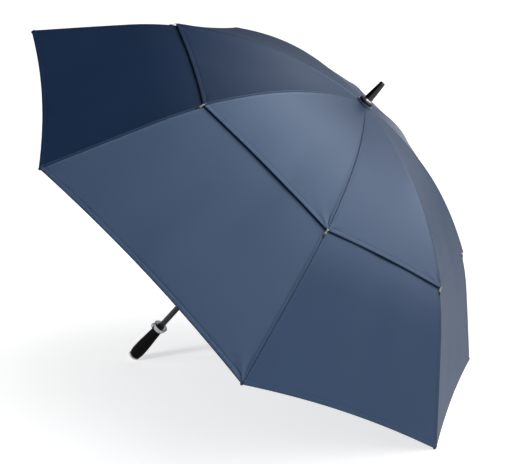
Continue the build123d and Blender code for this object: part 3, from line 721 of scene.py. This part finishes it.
def make_tape(name, azimuth, line, rib_line, start, end, rim, sag, keep, seeds, least):
    """Seam tape under the two gores that meet on a rib; it closes the seam when the frame folds.

    It just reaches past the gap that keep leaves, or with no keep nearly meets the next tape.
    """
    rows, columns = 40, 9
    points = []
    for radius in np.linspace(start, end, rows):
        folded = folded_radius(rib_line, radius)
        if keep is None:
            wide = TAPE_FILL * folded * tan(HALF_GORE)
        else:
            wide = (folded - keep * radius) * tan(HALF_GORE) + TAPE_OVERLAP
        wide = min(max(wide, least), 0.45 * radius * tan(HALF_GORE))
        for share in np.linspace(-1, 1, columns):
            side = 1 if share > 0 else -1
            seam = abs(share) * wide
            gore_radius = radius * NARROW
            half = gore_radius * tan(HALF_GORE)
            across = -side * (1 - seam / half)
            hem = rim - radius
            cloth = float(cloth_offset(seeds[side > 0], line, gore_radius, across, seam, hem, sag))
            lift = cloth - TAPE_DEPTH
            height, slope = line.exact(gore_radius)
            rho = gore_radius + lift * sin(slope)
            rise = height + lift * cos(slope)
            points.append(place(azimuth + side * HALF_GORE, rho, rise, across * rho * tan(HALF_GORE)))
    faces = [tuple(reversed(face)) for face in grid_faces(rows, columns)]
    obj = make_object(name, np.array(points), faces, tape_cloth)
    thick = obj.modifiers.new("tape", "SOLIDIFY")
    thick.thickness = TAPE_THICKNESS
    thick.offset = -1
    return apply_modifiers(obj)


for number in range(1, GORES + 1):
    azimuth = (2 * number - 3) * HALF_GORE
    for piece in (make_vent_loop(number, azimuth), make_tab(number, azimuth)):
        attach(piece, f"rib_{number}")
    before = (number - 2) % GORES + 1
    main_seeds, vent_seeds = (before, number), (before + VENT_SEED, number + VENT_SEED)
    vent_tape = make_tape(
        f"vent_tape_{number}", azimuth, vent_line, vent_rib_line,
        0.035, VENT_RADIUS - 0.014, VENT_RADIUS, VENT_SAG, None, vent_seeds, VENT_TAPE_LEAST,
    )
    main_tape = make_tape(
        f"main_tape_{number}", azimuth, main_line, main_rib_line,
        MAIN_INNER_RADIUS + 0.004, VENT_RADIUS - 0.002, HEM_RADIUS, MAIN_SAG, KEEP_MAIN, main_seeds, MAIN_TAPE_LEAST,
    )
    end_tape = make_tape(
        f"end_tape_{number}", azimuth, main_line, main_rib_line,
        VENT_RADIUS + 0.002, HEM_RADIUS - 0.016, HEM_RADIUS, MAIN_SAG, KEEP_MAIN, main_seeds, MAIN_TAPE_LEAST,
    )
    for tape, body in ((vent_tape, "rib"), (main_tape, "rib"), (end_tape, "rib_end")):
        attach(tape, f"{body}_{number}")
    tip_thread = make_tip_thread(number, azimuth)
    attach(tip_thread, f"rib_end_{number}")


# Studio ----------------------------------------------------------------------------------------------
FOCAL_PIXELS = 805.0
IMAGE_WIDTH = 511.0
SENSOR_WIDTH = 36.0
CAMERA_PLACE = Vector((0.6556, -1.6880, 0.7423))
CAMERA_HEADING = radians(112.151)
CAMERA_DIP = radians(12.079)
CAMERA_ROLL = radians(-1.639)

camera_data = bpy.data.cameras.new("camera")
camera_data.sensor_width = SENSOR_WIDTH
camera_data.lens = FOCAL_PIXELS / IMAGE_WIDTH * SENSOR_WIDTH
camera = bpy.data.objects.new("camera", camera_data)
bpy.context.scene.collection.objects.link(camera)
level = cos(CAMERA_DIP)
forward = Vector((cos(CAMERA_HEADING) * level, sin(CAMERA_HEADING) * level, -sin(CAMERA_DIP)))
right = forward.cross(Vector((0, 0, 1))).normalized()
upright = right.cross(forward)
camera_right = right * cos(CAMERA_ROLL) + upright * sin(CAMERA_ROLL)
camera_up = upright * cos(CAMERA_ROLL) - right * sin(CAMERA_ROLL)
camera_turn = Matrix((camera_right, camera_up, -forward)).transposed().to_4x4()
camera.matrix_world = Matrix.Translation(CAMERA_PLACE) @ camera_turn
bpy.context.scene.camera = camera

FLOOR_DARK = (0.78, 0.78, 0.785)
FLOOR_LIGHT = (0.81, 0.81, 0.815)
FLOOR_GLOW = 0.585
FLOOR_REACH = 30
FLOOR_DROP = 0.0003
floor_line = np.linspace(-FLOOR_REACH, FLOOR_REACH, 13)
floor_points = [(x, y, -FLOOR_DROP) for y in floor_line for x in floor_line]
floor_material, tree, shader = start_material("pale_floor")
spots = noise_at(tree, node(tree, "ShaderNodeTexCoord").outputs["Object"], 3.0, 3.0)
tree.links.new(ramp(tree, spots, [(0.3, FLOOR_DARK), (0.7, FLOOR_LIGHT)]), shader.inputs["Base Color"])
shader.inputs["Roughness"].default_value = 0.75
shader.inputs["Specular IOR Level"].default_value = 0.1
shader.inputs["Emission Color"].default_value = (1.0, 1.0, 1.0, 1)
seen = node(tree, "ShaderNodeLightPath").outputs["Is Camera Ray"]
tree.links.new(maths(tree, "MULTIPLY", seen, FLOOR_GLOW), shader.inputs["Emission Strength"])
floor = make_object("floor", floor_points, grid_faces(13, 13), floor_material)


def add_light(name, spot, aim, size, power, receivers=None, blockers=None):
    """A soft square light, on everything or only on some objects, shadowed by all or only by blockers."""
    data = bpy.data.lights.new(name, "AREA")
    data.size = size
    data.energy = power
    light = bpy.data.objects.new(name, data)
    bpy.context.scene.collection.objects.link(light)
    light.location = spot
    light.rotation_euler = (Vector(aim) - Vector(spot)).to_track_quat("-Z", "Y").to_euler()
    if receivers is not None:
        light.light_linking.receiver_collection = receivers
        light.light_linking.blocker_collection = blockers


# Soft boxes round the studio: azimuth and height in degrees, strength. The ceiling and left are dark.
SOFT_BOXES = [
    (-90, -10, 0.7),
    (0, -10, 0.4),
    (30, -10, 1.7),
    (90, -10, 2.6),
    (30, 15, 1.8),
    (-30, 40, 4.3),
    (0, 40, 0.8),
    (30, 40, 6.1),
    (60, 40, 1.1),
    (90, 40, 0.5),
]
SOFT_BOX_FOCUS = 24.0
BACKDROP = 1.10
AMBIENT = 0.006
floor_only = bpy.data.collections.new("floor_only")
floor_only.objects.link(floor)
add_light("floor_wash", (-1.9, -2.7, 1.5), (0.2, 0, 0), 0.8, 62.0, floor_only)
add_light("side", (-3.0, -1.3, 1.0), (0.0, 0, 0.1), 0.7, 12.0)
handle_parts = bpy.data.collections.new("handle_parts")
for node_name in ("handle_cup", "handle_boss", "end_cap", "button_bezel", "push_button"):
    handle_parts.objects.link(frame["nodes"][node_name])
add_light("handle_fill", (1.6, -3.8, 1.2), (-0.27, 0, 0.12), 0.6, 80.0, handle_parts, handle_parts)
world = bpy.data.worlds.new("studio")
bpy.context.scene.world = world
world.use_nodes = True
tree = world.node_tree
looking = node(tree, "ShaderNodeTexCoord").outputs["Generated"]
glow = AMBIENT
for azimuth, rise, strength in SOFT_BOXES:
    azimuth, rise = radians(azimuth), radians(rise)
    towards = (cos(azimuth) * cos(rise), sin(azimuth) * cos(rise), sin(rise))
    facing = node(tree, "ShaderNodeVectorMath", {0: looking, 1: towards}, operation="DOT_PRODUCT")
    lobe = maths(tree, "POWER", maths(tree, "MAXIMUM", facing.outputs["Value"]), SOFT_BOX_FOCUS)
    glow = maths(tree, "MULTIPLY_ADD", lobe, strength, glow)
seen = node(tree, "ShaderNodeLightPath").outputs["Is Camera Ray"]
strength = node(tree, "ShaderNodeMix", {"Factor": seen, "A": glow, "B": BACKDROP}).outputs["Result"]
tree.nodes["Background"].inputs["Color"].default_value = (1, 1, 1, 1)
tree.links.new(strength, tree.nodes["Background"].inputs["Strength"])
bpy.context.scene.view_settings.view_transform = "Standard"
